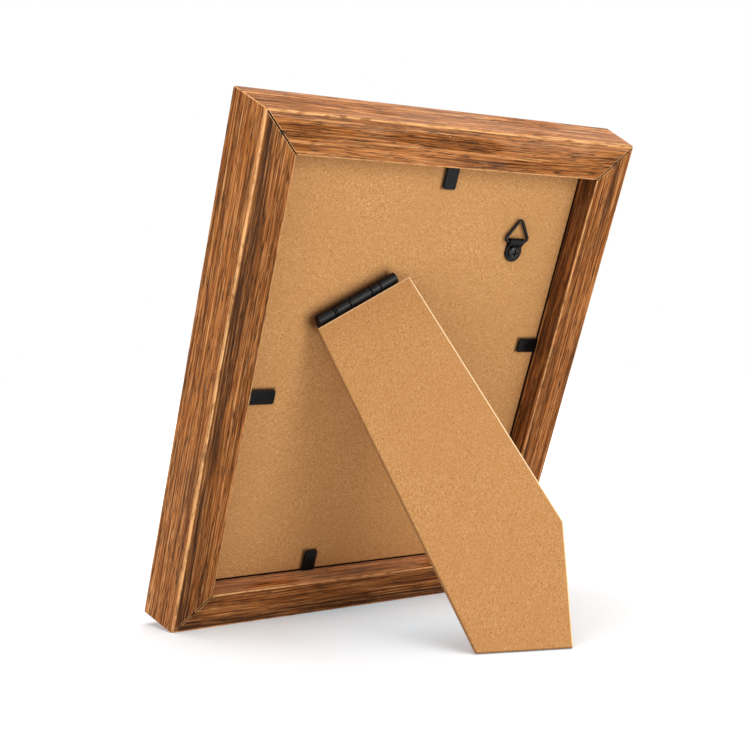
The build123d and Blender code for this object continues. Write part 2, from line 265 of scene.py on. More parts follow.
colour = blended(add, between(add, dark_streak, 0.54, 0.63, 0.0, 0.68), colour, tint(78, 46, 19))
open_pore = between(add, pore, 0.57, 0.62, 0.0, 0.9)
colour = blended(add, open_pore, colour, tint(52, 32, 14))
colour = blended(add, between(add, fleck, 0.62, 0.69, 0.0, 0.5), colour, tint(224, 170, 116))
# Where the stain value is positive the wood darkens: real stain, with painted shade on the bottom rail's back and
# the right rail's wall. Where it is negative the wood is painted pale: painted light on the top rail and on the
# bottom rail's wall.
colour = blended(add, times(add, stain_shade, between(add, fibre, 0.40, 0.60, 1.0, 0.45)), colour, tint(60, 38, 24))
colour = blended(add, between(add, stain_shade, 0.0, -1.0), colour, tint(232, 190, 156))
colour = blended(add, between(add, speck, 0.77, 0.80, 0.0, 0.7), colour, tint(226, 190, 150))
chip = grain(add, place, (130, 420, 420), 3.0, 0.6, (5, 1, 2))
kept = between(add, chip, 0.40, 0.52, 0.30, 1.0)
patch = grain(add, place, (20, 90, 90), 3.0, 0.6, (2, 8, 1))
worn = times(add, between(add, patch, 0.35, 0.60, 0.45, 0.9), kept)
back_side = between(add, outer, RAIL_WIDTH - 0.1, RAIL_WIDTH + 0.1, 1.0, 0.0)
back_side = times(add, between(add, outer, 0.9, 1.1), back_side)
out_side = between(add, outer, -1.2, -1.0, 1.0, 0.0)
# Pale lines along the arrises and beside the mitres: the stain rubbed off, and also painted highlights on the
# rounded arrises, strongest on the inner arris.
fine = times(add, kept, between(add, fibre, 0.38, 0.5, 0.6, 1.0))
bare_and_highlight = times(add, line(add, outer, 0.4, 0.25, 0.45), fine)
coarse = times(add, worn, between(add, fibre, 0.40, 0.56, 0.4, 1.0))
bare_and_highlight = either(add, bare_and_highlight, times(add, line(add, outer, -0.1, 0.40, 1.00), coarse))
bare_and_highlight = either(add, bare_and_highlight, times(add, line(add, inner, 0.0, 0.22, 0.5), times(add, kept, 0.85)))
by_joint = times(add, line(add, mitre, 0.75, 0.15, 0.25), back_side)
bare_and_highlight = either(add, bare_and_highlight, times(add, by_joint, times(add, kept, 0.8)))
over_corner = times(add, line(add, mitre, 0.0, 0.22, 0.38), out_side)
bare_and_highlight = either(add, bare_and_highlight, times(add, over_corner, kept))
bare_and_highlight = either(add, bare_and_highlight, rubbed)
colour = blended(add, bare_and_highlight, colour, tint(238, 180, 120))
joint = times(add, back_side, line(add, mitre, 0.0, 0.48, 0.20))
nail_mark = times(add, line(add, outer, NAIL_PLACE, 0.6, 0.5), line(add, mitre, 0.0, 0.7, 0.5))
joint = either(add, joint, nail_mark)
colour = blended(add, joint, colour, tint(9, 6, 4))
# The rabbet's wall beside and under the board and the lip below it are painted near-black: painted shade in the gap
# round the board.
rabbet_shade = between(add, inner, RABBET_SHADE_FROM, RABBET_SHADE_FROM + 0.5)
rabbet_shade = times(add, rabbet_shade, between(add, inner, RABBET_SHADE_TO, RABBET_SHADE_TO + 0.5, 1.0, 0.0))
colour = blended(add, rabbet_shade, colour, tint(26, 16, 11))
wire(colour, shader.inputs["Base Color"])
wire(between(add, fibre, 0.3, 0.7, 0.62, 0.46), shader.inputs["Roughness"])
shader.inputs["Specular IOR Level"].default_value = 0.07
relief = add("Math", {0: fibre, 1: open_pore}, operation="SUBTRACT").outputs[0]
bump = add("Bump", {"Strength": 0.45, "Distance": 0.0003, "Height": relief}).outputs[0]
wire(bump, shader.inputs["Normal"])

profile = rounded_outline(RAIL_CORNERS, RAIL_RADII, 0.8, 0.3)
profile_run = np.concatenate([[0], np.cumsum(np.linalg.norm(np.diff(profile, axis=0), axis=1))])
profile_length = profile_run[-1] + np.linalg.norm(profile[0] - profile[-1])


def from_arris(corner):
    """Signed distance along the profile from one of its corners, the short way round."""
    nearest = np.argmin(np.linalg.norm(profile - np.array(RAIL_CORNERS[corner]), axis=1))
    away = profile_run - profile_run[nearest]
    return (away + profile_length / 2) % profile_length - profile_length / 2


def rail(name, length, lay, seed, band, wall, fade):
    """The profile carried along a rail: each point runs between the two mitres, at half the length less its own
    distance into the frame, with extra rows close to them. Every point is then pressed in along its normal: by fine
    grain, by dents along the arrises and by the eased edge of the mitre. The stain is deepest in a band beside the
    outer arris and on the rabbet wall. Each rail sets its own band and wall, and these carry painted shade and
    painted light as well as stain; fade pales the outer side as a painted sheen."""
    half = length / 2 - MITRE_GAP - profile[:, 0]
    close = np.array([0, 0.1, 0.22, 0.36, 0.55, 0.9, 1.5, 2.5])[:, None]
    middle = np.linspace(-1, 1, int(length / 1.2))[1:-1, None] * (half - close[-1])
    along = np.concatenate([close - half, middle, half - close[::-1]])
    to_mitre = half - np.abs(along)
    run = np.broadcast_to(profile_run, along.shape)
    a, d = profile.T
    outer, inner, front = from_arris(0), from_arris(1), from_arris(5)
    arris = np.exp(-((outer / 1.2) ** 2)) + 0.7 * np.exp(-((inner / 0.8) ** 2)) + np.exp(-((front / 1.2) ** 2))
    press = 0.03 * streak(along, run, 16, 0.9, seed) + 0.02 * streak(along, run, 5, 1.7, seed + 1)
    press = press + 0.20 * arris * np.clip(streak(along, run, 4, 3, seed + 2) - 0.62, 0, 1)
    press = press + 0.28 * np.clip(1 - to_mitre / 0.42, 0, 1) + 0.35 * arris * np.exp(-((to_mitre / 0.9) ** 2))
    shape = profile + inward(profile) * press[..., None]
    points = stand(*lay(shape[..., 0], shape[..., 1], along))
    rub = np.exp(-((front / 0.8) ** 2)) * np.clip(2.2 * streak(along, run, 7, 0.7, seed + 4) - 0.35, 0, 1)
    back = (outer > 1) & (outer < RAIL_WIDTH)
    patchy = 0.55 + 0.45 * streak(along, run, 45, 60, seed + 7)
    # The stain value: real stain in a band beside the outer arris, on the back and on the walls, set per rail partly
    # as painted shade and light; fade pales the outer side as a painted sheen.
    stain_and_shade = band * back * np.exp(-(((outer - 4.4) / 3.0) ** 2)) * patchy
    stain_and_shade = stain_and_shade + 0.35 * band * back
    stain_and_shade = stain_and_shade + wall * ((outer > RAIL_WIDTH) & (outer < WALL_END))
    stain_and_shade = stain_and_shade + 0.5 * np.clip(2 * streak(along, run, 60, 9, seed + 8) - 1.15, 0, 1)
    stain_and_shade = np.clip(stain_and_shade, -1, 1) - fade * ((outer < -1) & (outer > -SIDE_END))
    edges = np.stack(np.broadcast_arrays(outer, inner, to_mitre), -1)
    place = np.stack([along + 400 * seed, a + 0 * along, d + 0 * along], -1) / 1000
    count = len(profile)
    last = (len(along) - 1) * count
    ends = (range(count), range(last + count - 1, last - 1, -1))
    fields = {"grain_place": place, "edge_place": edges, "rubbed": rub, "stain_and_painted_shade": stain_and_shade}
    made = piece(name, points, rings(len(along), count), ends, **fields)
    made.data.materials.append(stained_oak)
    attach(made, "frame")
    return made


# Per rail: the bottom rail's back, set darkest, and the right rail's dark wall are painted shade; the top rail's
# back and the bottom rail's wall, set below zero, are painted light; fade pales the top rail's top face as a painted
# sheen.
left_rail = rail(
    "left_rail", BACK_HEIGHT, lambda a, d, s: (a - BACK_WIDTH / 2, BACK_HEIGHT / 2 + s, d),
    seed=1, band=1.0, wall=0.3, fade=0.0,
)
right_rail = rail(
    "right_rail", BACK_HEIGHT, lambda a, d, s: (BACK_WIDTH / 2 - a, BACK_HEIGHT / 2 + s, d),
    seed=2, band=0.05, wall=0.75, fade=0.0,
)
bottom_rail = rail(
    "bottom_rail", BACK_WIDTH, lambda a, d, s: (s, a, d),
    seed=3, band=1.1, wall=-0.18, fade=0.0,
)
top_rail = rail(
    "top_rail", BACK_WIDTH, lambda a, d, s: (s, BACK_HEIGHT - a, d),
    seed=4, band=-0.12, wall=0.3, fade=0.12,
)
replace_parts(left_rail, "rail_left")
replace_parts(right_rail, "rail_right")
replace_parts(bottom_rail, "rail_bottom")
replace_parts(top_rail, "rail_top")


# The corner nails: thin angles of tarnished spring steel, driven flush into the back across each mitre, with one
# leg in each rail.
EASED_ANGLE = math.radians(32)


def eased_copy(node, name, width):
    """A copy of a solid's mesh, its doubles merged and its flat faces joined, with its edges rounded by a bevel."""
    form = bmesh.new()
    form.from_mesh(nodes[node].data)
    bmesh.ops.remove_doubles(form, verts=form.verts, dist=1e-6)
    bmesh.ops.dissolve_limit(form, angle_limit=0.01, verts=form.verts, edges=form.edges)
    form.verts.index_update()
    points = [vert.co[:] for vert in form.verts]
    faces = [[vert.index for vert in face.verts] for face in form.faces]
    form.free()
    mesh = bpy.data.meshes.new(name)
    mesh.from_pydata(points, [], faces)
    mesh.polygons.foreach_set("use_smooth", np.ones(len(faces), bool))
    mesh.set_sharp_from_angle(angle=EASED_ANGLE)
    made = bpy.data.objects.new(name, mesh)
    bpy.context.scene.collection.objects.link(made)
    edge = made.modifiers.new("eased_edges", "BEVEL")
    edge.width = width / 1000
    edge.segments = 2
    edge.limit_method = "ANGLE"
    edge.angle_limit = EASED_ANGLE
    edge.harden_normals = True
    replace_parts(made, node)
    return made


dull_steel, shader, add, wire = finish("dull_steel")
place = add("TexCoord").outputs["Object"]
tarnish = grain(add, place, (600, 600, 600), 4.0, 0.6)
wire(shades(add, tarnish, ((0.35, tint(30, 27, 25)), (0.65, tint(66, 61, 56)))), shader.inputs["Base Color"])
wire(between(add, tarnish, 0.3, 0.7, 0.55, 0.32), shader.inputs["Roughness"])
shader.inputs["Metallic"].default_value = 1.0
nails = eased_copy("v_nails", "corner_nails", 0.08)
nails.data.materials.append(dull_steel)
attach(nails, "frame")

# The glass: a pane of clear float glass with ground edges, lying on the moulding's lip, with the faint smears of
# handling. A hair of air is left around it, so that it never shares a face with what it lies on.
PANE_WIDTH, PANE_HEIGHT = 203.2, 254.0
PANE_THICKNESS = 2.0
AIR = 0.03


def eased_plate(outline, low, high, ease_low, ease_high, rim=0.5, steps=4):
    """A closed plate over an outline: rings of the outline run from the middle of the lower face to its rim, round
    the lower arris on a quarter circle, up the side, round the upper arris and in to the middle of the upper face.
    Gives plane places, heights, quads, end fans and the edge's outward normal, 0 where a point is on a face."""
    count = len(outline)
    normal = inward(outline)
    ease_low, ease_high = (np.broadcast_to(ease, (1, count)) for ease in (ease_low, ease_high))
    turn = np.linspace(0, math.pi / 2, steps + 1)[:, None]
    lower, upper = ease_low * (1 - np.sin(turn)), ease_high * (1 - np.cos(turn))
    inset = np.concatenate([ease_low + rim, lower, upper, ease_high + rim])
    lower, upper = low + ease_low * (1 - np.cos(turn)), high - ease_high * (1 - np.sin(turn))
    height = np.concatenate([0 * ease_low + low, lower, upper, 0 * ease_high + high])
    edge = outline + normal * inset[..., None]
    middle = outline.mean(0)
    shrink = np.array([0.3, 0.6, 0.85])[:, None, None]
    under = middle + (edge[0] - middle) * shrink
    over = middle + (edge[-1] - middle) * shrink[::-1]
    flat = np.concatenate([[middle], under.reshape(-1, 2), edge.reshape(-1, 2), over.reshape(-1, 2), [middle]])
    on_face = len(shrink) * count
    tall = np.concatenate([[low], np.full(on_face, low), height.ravel(), np.full(on_face, high), [high]])
    out = np.zeros((*edge.shape[:2], 2))
    out[1:-1] = -normal
    face = np.zeros((1 + on_face, 2))
    out = np.concatenate([face, out.reshape(-1, 2), face])
    rows = len(edge) + 2 * len(shrink)
    start, last = 1 + np.arange(count), 1 + (rows - 1) * count + np.arange(count)
    fans = [(0, b, a) for a, b in zip(start.tolist(), np.roll(start, -1).tolist())]
    fans += [(len(flat) - 1, a, b) for a, b in zip(last.tolist(), np.roll(last, -1).tolist())]
    return flat[:, 0], flat[:, 1], tall, 1 + rings(rows, count), fans, out


clear_glass, shader, add, wire = finish("clear_glass")
place = add("TexCoord").outputs["Object"]
smear = grain(add, place, (30, 14, 30), 3.0, 0.6)
wire(between(add, smear, 0.45, 0.7, 0.0, 0.06), shader.inputs["Roughness"])
shader.inputs["Base Color"].default_value = tint(252, 253, 252)
shader.inputs["Transmission Weight"].default_value = 1.0
shader.inputs["IOR"].default_value = 1.5
left, right = -PANE_WIDTH / 2, PANE_WIDTH / 2
low, high = (BACK_HEIGHT - PANE_HEIGHT) / 2, (BACK_HEIGHT + PANE_HEIGHT) / 2
pane_outline = rounded_outline(((left, low), (right, low), (right, high), (left, high)), (0.5,) * 4, 6, 0.2)
pane_front, pane_back = AIR - LIP_DEPTH, PANE_THICKNESS - LIP_DEPTH - AIR
x, y, z, quads, fans, _ = eased_plate(pane_outline, pane_front, pane_back, 0.3, 0.3, 0.1)
pane = piece("float_glass", stand(x, y, z), quads, fans)
pane.data.materials.append(clear_glass)
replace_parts(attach(pane, "frame"), "glass_pane")

# The picture's place: a bare sheet of heavy paper with a matt tooth, cut to the size of the glass and held flat
# between it and the board.
PAPER_THICKNESS = 0.4
matt_paper, shader, add, wire = finish("matt_paper")
place = add("TexCoord").outputs["Object"]
cloud = grain(add, place, (55, 55, 55), 3.0, 0.5)
tooth = grain(add, place, (1800, 1800, 1800), 3.0, 0.6)
wire(shades(add, cloud, ((0.3, tint(224, 220, 210)), (0.7, tint(236, 233, 225)))), shader.inputs["Base Color"])
wire(add("Bump", {"Strength": 0.15, "Distance": 0.0001, "Height": tooth}).outputs[0], shader.inputs["Normal"])
shader.inputs["Roughness"].default_value = 0.9
paper_depth = PANE_THICKNESS - LIP_DEPTH
paper_front, paper_back = paper_depth + AIR, paper_depth + PAPER_THICKNESS - AIR
x, y, z, quads, fans, _ = eased_plate(pane_outline, paper_front, paper_back, 0.05, 0.05, 0.1)
paper = piece("bare_paper", stand(x, y, z), quads, fans)
paper.data.materials.append(matt_paper)
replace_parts(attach(paper, "frame"), "picture_print")

# The backing board: a sheet of hard-pressed tan fibreboard, cut to drop into the rabbet 15 mm below the back and
# held there by the tabs. Painted shadows darken it beside the hinge's barrel and to the upper left of each tab.
BOARD_DEPTH = 15.0
BOARD_THICKNESS = 3.0
BOARD_SIDE = 102.2
BOARD_LOW, BOARD_HIGH = 22.6, 277.8
HINGE_X, HINGE_Y = -65.6, 182.7
SLANT = math.radians(30.5)
BARREL_START, BARREL_LENGTH = 3.4, 52.4
# middle and half size of each tab on the board
TAB_PLACES = (
    (-90.9, 138.6, 11.6, 4.2),
    (-32.4, 28.7, 4.2, 6.5),
    (95.4, 167.5, 7.2, 4.2),
    (7.2, 270.6, 4.2, 7.6),
)
# how far the painted shadows of the hinge and of the tabs reach, and the margin by which the unshaded place
# under each tab is smaller than the tab
HINGE_SHADOW_FROM, HINGE_SHADOW_TO = 3.0, 12.5
HINGE_SHADOW_FADE = 3.0
TAB_SHADOW_LEFT, TAB_SHADOW_UP = 0.8, 0.4
TAB_SHADOW_REACH = 2.2
UNSHADED_MARGIN = 0.7


def beside(add, place, middle, half):
    """Distance from a rectangle, 0 inside it: how far each way a place lies past the half size, as one length."""
    past = add("VectorMath", {0: place, 1: middle}, operation="SUBTRACT").outputs[0]
    past = add("VectorMath", {0: past}, operation="ABSOLUTE").outputs[0]
    past = add("VectorMath", {0: past, 1: half}, operation="SUBTRACT").outputs[0]
    past = add("VectorMath", {0: past, 1: (0, 0, 0)}, operation="MAXIMUM").outputs[0]
    return add("VectorMath", {0: past}, operation="LENGTH").outputs["Value"]


fibreboard, shader, add, wire = finish("fibreboard")
place = add("TexCoord").outputs["Object"]
pale_edge = add("Attribute", attribute_name="pale_edge").outputs["Fac"]
soil = add("Attribute", attribute_name="soil").outputs["Fac"]
cloud = grain(add, place, (38, 38, 38), 3.0, 0.5)
felt = grain(add, place, (1000, 1000, 1000), 6.0, 0.75)
wool = grain(add, place, (2200, 600, 600), 3.0, 0.6, (2, 0, 0))
cross_wool = grain(add, place, (600, 2200, 2200), 3.0, 0.6, (0, 6, 1))
dust = grain(add, place, (1700, 1700, 1700), 2.0, 0.5, (4, 4, 4))
pressed = add("Mix", {0: 0.5, 2: wool, 3: cross_wool}).outputs[0]
pressed = add("Mix", {0: 0.5, 2: felt, 3: pressed}).outputs[0]
colour = shades(
    add,
    pressed,
    (
        (0.39, tint(158, 106, 55)),
        (0.46, tint(196, 142, 86)),
        (0.54, tint(211, 158, 102)),
        (0.62, tint(234, 190, 136)),
    ),
)
colour = blended(add, between(add, cloud, 0.35, 0.65, 0.0, 0.35), colour, tint(198, 143, 88))
colour = blended(add, between(add, dust, 0.66, 0.73, 0.0, 0.7), colour, tint(112, 70, 36))
hinge_start = stand(HINGE_X, HINGE_Y, -BOARD_DEPTH)
hinge_along = 1000 * (stand(HINGE_X + math.cos(SLANT), HINGE_Y + math.sin(SLANT), -BOARD_DEPTH) - hinge_start)
hinge_across = 1000 * (stand(HINGE_X - math.sin(SLANT), HINGE_Y + math.cos(SLANT), -BOARD_DEPTH) - hinge_start)
from_hinge = add("VectorMath", {0: place, 1: hinge_start.tolist()}, operation="SUBTRACT").outputs[0]
along = add("VectorMath", {0: from_hinge, 1: hinge_along.tolist()}, operation="DOT_PRODUCT").outputs["Value"]
across = add("VectorMath", {0: from_hinge, 1: hinge_across.tolist()}, operation="DOT_PRODUCT").outputs["Value"]
on_hinge = add("CombineXYZ", {0: along, 1: across}).outputs[0]
# A painted shadow on the board along the hinge's barrel: dark 3 mm from its line, gone by 12.5 mm, cut off at its
# right end.
barrel_middle = (BARREL_START + BARREL_LENGTH / 2) / 1000
hinge_shadow = beside(add, on_hinge, (barrel_middle, 0, 0), (BARREL_LENGTH / 2000, 0, 0))
hinge_shadow = between(add, hinge_shadow, HINGE_SHADOW_FROM / 1000, HINGE_SHADOW_TO / 1000, 0.95, 0.0)
barrel_end, fade = (BARREL_START + BARREL_LENGTH) / 1000, HINGE_SHADOW_FADE / 1000
hinge_shadow = times(add, hinge_shadow, between(add, along, barrel_end - fade, barrel_end + fade, 1.0, 0.0))
on_board = between(add, soil, 0.0, 0.05, 1.0, 0.0)
colour = blended(add, times(add, on_board, times(add, hinge_shadow, hinge_shadow)), colour, tint(84, 50, 26))
rise = (stand(0, 1000, 0) - stand(0, 0, 0)).tolist()
above = add("VectorMath", {0: from_hinge, 1: rise}, operation="DOT_PRODUCT").outputs["Value"]
beyond = add("VectorMath", {0: from_hinge, 1: (-1, 0, 0)}, operation="DOT_PRODUCT").outputs["Value"]
on_back = add("CombineXYZ", {0: beyond, 1: above}).outputs[0]
# Painted shadows of the tabs: each tab's rectangle, shifted left and up, darkens the board out to 2.2 mm past it,
# but not the place under the tab.
tab_shadows = 0.0
for x, y, half_x, half_y in TAB_PLACES:
    upper_left = ((x - TAB_SHADOW_LEFT - HINGE_X) / 1000, (y + TAB_SHADOW_UP - HINGE_Y) / 1000, 0)
    by_tab = beside(add, on_back, upper_left, (half_x / 1000, half_y / 1000, 0))
    under = ((x - HINGE_X) / 1000, (y - HINGE_Y) / 1000, 0)
    unshaded = ((half_x - UNSHADED_MARGIN) / 1000, (half_y - UNSHADED_MARGIN) / 1000, 0)
    out_of_it = between(add, beside(add, on_back, under, unshaded), 0.0002, UNSHADED_MARGIN / 1000)
    tab_shadow = times(add, between(add, by_tab, 0.0, TAB_SHADOW_REACH / 1000, 0.92, 0.0), out_of_it)
    tab_shadows = either(add, tab_shadows, tab_shadow)
colour = blended(add, times(add, on_board, times(add, tab_shadows, tab_shadows)), colour, tint(40, 24, 12))
# The constant 0.23 on the strut paints it darker than the board: painted shade, offsetting the stronger light that
# falls on it.
colour = blended(add, soil, colour, tint(120, 66, 20))
# Cut edges: a negative edge value paints them darker as shade, all round the board and on the strut's left edges; a
# positive one paints them pale as a highlight, on the strut's right and upper edges.
colour = blended(add, between(add, pale_edge, 0.0, -1.0), colour, tint(110, 72, 42))
colour = blended(add, between(add, pale_edge, 0.0, 1.0), colour, tint(255, 222, 176))
wire(colour, shader.inputs["Base Color"])
wire(add("Bump", {"Strength": 0.2, "Distance": 0.0002, "Height": pressed}).outputs[0], shader.inputs["Normal"])
shader.inputs["Roughness"].default_value = 0.82
shader.inputs["Specular IOR Level"].default_value = 0.1

board_corners = (
    (-BOARD_SIDE, BOARD_LOW),
    (BOARD_SIDE, BOARD_LOW),
    (BOARD_SIDE, BOARD_HIGH),
    (-BOARD_SIDE, BOARD_HIGH),
)
board_outline = rounded_outline(board_corners, (0.4,) * 4, 6, 0.2)
board_front = -BOARD_DEPTH - BOARD_THICKNESS
x, y, z, quads, fans, out = eased_plate(board_outline, board_front, -BOARD_DEPTH, 0.2, 0.25, 0.1)
# The board's cut edges are all painted darker, as shade in the gap against the rabbet walls.
board = piece("fibre_board", stand(x, y, z), quads, fans, pale_edge=-np.abs(out).max(1))
board.data.materials.append(fibreboard)
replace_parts(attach(board, "frame"), "backing_board")

# The retaining tabs: four strips of black-painted steel. Each is driven into its rabbet wall and bends up at
# the wall, so that the board can come out.
TAB_HALF = 4.2
TAB_SHEET = 1.5
TAB_START = 0.3
TAB_SEAT = 0.1

black_paint, shader, add, wire = finish("black_paint")
place = add("TexCoord").outputs["Object"]
mist = grain(add, place, (260, 260, 260), 3.0, 0.55)
peel = grain(add, place, (2600, 2600, 2600), 2.0, 0.5)
wire(shades(add, mist, ((0.3, tint(4, 4, 5)), (0.7, tint(9, 9, 10)))), shader.inputs["Base Color"])
wire(between(add, mist, 0.3, 0.7, 0.26, 0.38), shader.inputs["Roughness"])
shader.inputs["Specular IOR Level"].default_value = 0.17
wire(add("Bump", {"Strength": 0.12, "Distance": 0.00005, "Height": peel}).outputs[0], shader.inputs["Normal"])


def tab(name, node, body, wall_x, wall_y, turn, reach):
    """A plate from just off the wall to its reach, with rounded free corners and a rounder arris along the bend,
    turned to its wall and laid on the board."""
    corners = ((TAB_START, -TAB_HALF), (reach, -TAB_HALF), (reach, TAB_HALF), (TAB_START, TAB_HALF))
    outline = rounded_outline(corners, (0.9, 1.5, 1.5, 0.9), 1.0, 0.25)
    ease = np.where(outline[:, 0] < 0.7, 0.62, 0.4)
    x, y, z, quads, fans, _ = eased_plate(outline, 0, TAB_SHEET, ease * 0.8, ease, 0.2)
    c, s = math.cos(turn), math.sin(turn)
    points = stand(wall_x + x * c - y * s, wall_y + x * s + y * c, z + TAB_SEAT - BOARD_DEPTH)
    made = piece(name, points, quads, fans)
    made.data.materials.append(black_paint)
    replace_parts(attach(made, body), node)


tab("left_strip", "tab_left", "left_tab", -102.8, 138.6, 0.0, 23.5)
tab("bottom_strip", "tab_bottom", "bottom_tab", -32.4, 22.0, math.pi / 2, 13.2)
tab("right_strip", "tab_right", "right_tab", 102.8, 167.5, math.pi, 14.6)
tab("top_strip", "tab_top", "top_tab", 7.2, 278.4, -math.pi / 2, 15.4)
shanks = eased_copy("tab_roots", "driven_shanks", 0.1)
shanks.data.materials.append(black_paint)
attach(shanks, "frame")

# The hinge: two black-painted stampings with rolled knuckles on one staked pin, pressed by their spurs into the
# board and the strut. A lug on the strut's knuckle meets a notch in the board's and stops the strut when open.
# where the knuckles meet, along the hinge from the strut's left side
KNUCKLE_MARKS = (13.6, 15.0, 24.0, 38.4, 44.6)
board_leaf = eased_copy("hinge_board_leaf", "board_leaf", 0.18)
strut_leaf = eased_copy("hinge_strut_leaf", "strut_leaf", 0.18)
pin = eased_copy("hinge_pin", "knuckle_pin", 0.4)
satin_black, shader, add, wire = finish("satin_black")
place = add("TexCoord").outputs["Object"]
mist = grain(add, place, (300, 300, 300), 3.0, 0.55)
from_hinge = add("VectorMath", {0: place, 1: hinge_start.tolist()}, operation="SUBTRACT").outputs[0]
along = add("VectorMath", {0: from_hinge, 1: hinge_along.tolist()}, operation="DOT_PRODUCT").outputs["Value"]
crimp = 0.0
for mark in KNUCKLE_MARKS:
    crimp = either(add, crimp, line(add, along, mark / 1000, 0.0002, 0.0003))
groove = add("Bump", {"Strength": 1.0, "Distance": 0.0006, "Height": crimp}, invert=True).outputs[0]
wire(groove, shader.inputs["Normal"])
wire(shades(add, mist, ((0.3, tint(8, 8, 9)), (0.7, tint(17, 17, 18)))), shader.inputs["Base Color"])
wire(either(add, between(add, mist, 0.3, 0.7, 0.24, 0.32), crimp), shader.inputs["Roughness"])
shader.inputs["Specular IOR Level"].default_value = 0.21
for made, body in ((board_leaf, "frame"), (strut_leaf, "easel_leg"), (pin, "frame")):
    made.data.materials.append(satin_black)
    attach(made, body)

# The strut: the same fibreboard, painted darker than the board as shade, cut with a standing foot and a side foot.
# Its cut edges are painted pale as a highlight where they face right and up and darker as shade where they face
# left. It hangs from the hinge, whose leaf is pressed into its inner face.
OPENING = math.radians(43)
BARREL = 3.2
STRUT_SET = 0.5
STRUT_THICKNESS = 2.5
STRUT_WIDTH = 62.2
STRUT_HEAD = -3.8
FOOT_LEFT, FOOT_RIGHT = -21.7, 25.8
SIDE_FOOT = 68.0


def on_strut(x, y, z):
    """From millimetres on the strut, x along the hinge, y towards its head and z out of its inner face, to the
    table: a turn by the opening about the hinge axis, then by its slant, to the hinge's place on the board."""
    z = z + STRUT_SET
    up, out = y * math.cos(OPENING) + z * math.sin(OPENING), z * math.cos(OPENING) - y * math.sin(OPENING)
    right = HINGE_X + x * math.cos(SLANT) - up * math.sin(SLANT)
    return stand(right, HINGE_Y + x * math.sin(SLANT) + up * math.cos(SLANT), out + BARREL - BOARD_DEPTH)


def on_table(x):
    """Where the strut's inner face meets the table, at x along the hinge: height falls in a straight line."""
    head, step = on_strut(x, 0.0, 0.0)[2], on_strut(x, 1.0, 0.0)[2]
    return -head / (step - head)


foot_corner = np.array((FOOT_RIGHT, on_table(FOOT_RIGHT)))
foot_end = np.array((FOOT_LEFT, on_table(FOOT_LEFT)))
side_end = foot_corner + SIDE_FOOT * np.array((math.sin(SLANT), math.cos(SLANT)))
strut_corners = ((0, STRUT_HEAD), (STRUT_WIDTH, STRUT_HEAD), side_end, foot_corner, foot_end)
strut_outline = rounded_outline(strut_corners, (1.0,) * 5, 4, 0.25)
x, y, z, quads, fans, out = eased_plate(strut_outline, 0, STRUT_THICKNESS, 0.25, 0.55, 0.4)
# The strut's edges facing right and up are painted pale as a highlight, those facing left darker as shade.
pale = np.clip(1.6 * out[:, 0] + 0.4 * out[:, 1], -0.55, 1)
strut = piece("easel_strut", on_strut(x, y, z), quads, fans, pale_edge=pale, soil=0.23 + 0 * x)
strut.data.materials.append(fibreboard)
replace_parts(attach(strut, "easel_leg"), "strut")

# The wall hanger: a strap of black-painted sheet folded round a bent wire triangle, which swings in its eye. One
# pan-head screw with a cross recess goes through both ends of the strap into the board.
HANGER_X, HANGER_Y = 65.0, 227.9
STRAP_SHEET = 0.8
STRAP_END = 5.9
STRAP_HALF = 5.3
NARROW_OVER = 5.2
FOLD_SHIFT = 0.5
FOLD_SLOPE = math.radians(34)
BAR_RISE = 6.9
WIRE = 1.0
EYE = 1.9
RING_CORNERS = ((-10.1, 0), (8.9, 0), (-0.6, 14.2))
RING_BEND = 1.9
SCREW_SHIFT = 0.4
HEAD_RADIUS, HEAD_SEAT, HEAD_DOME = 3.7, 2.0, 1.6
CROSS_LONG, CROSS_HALF, CROSS_DEPTH = 1.95, 0.60, 1.2


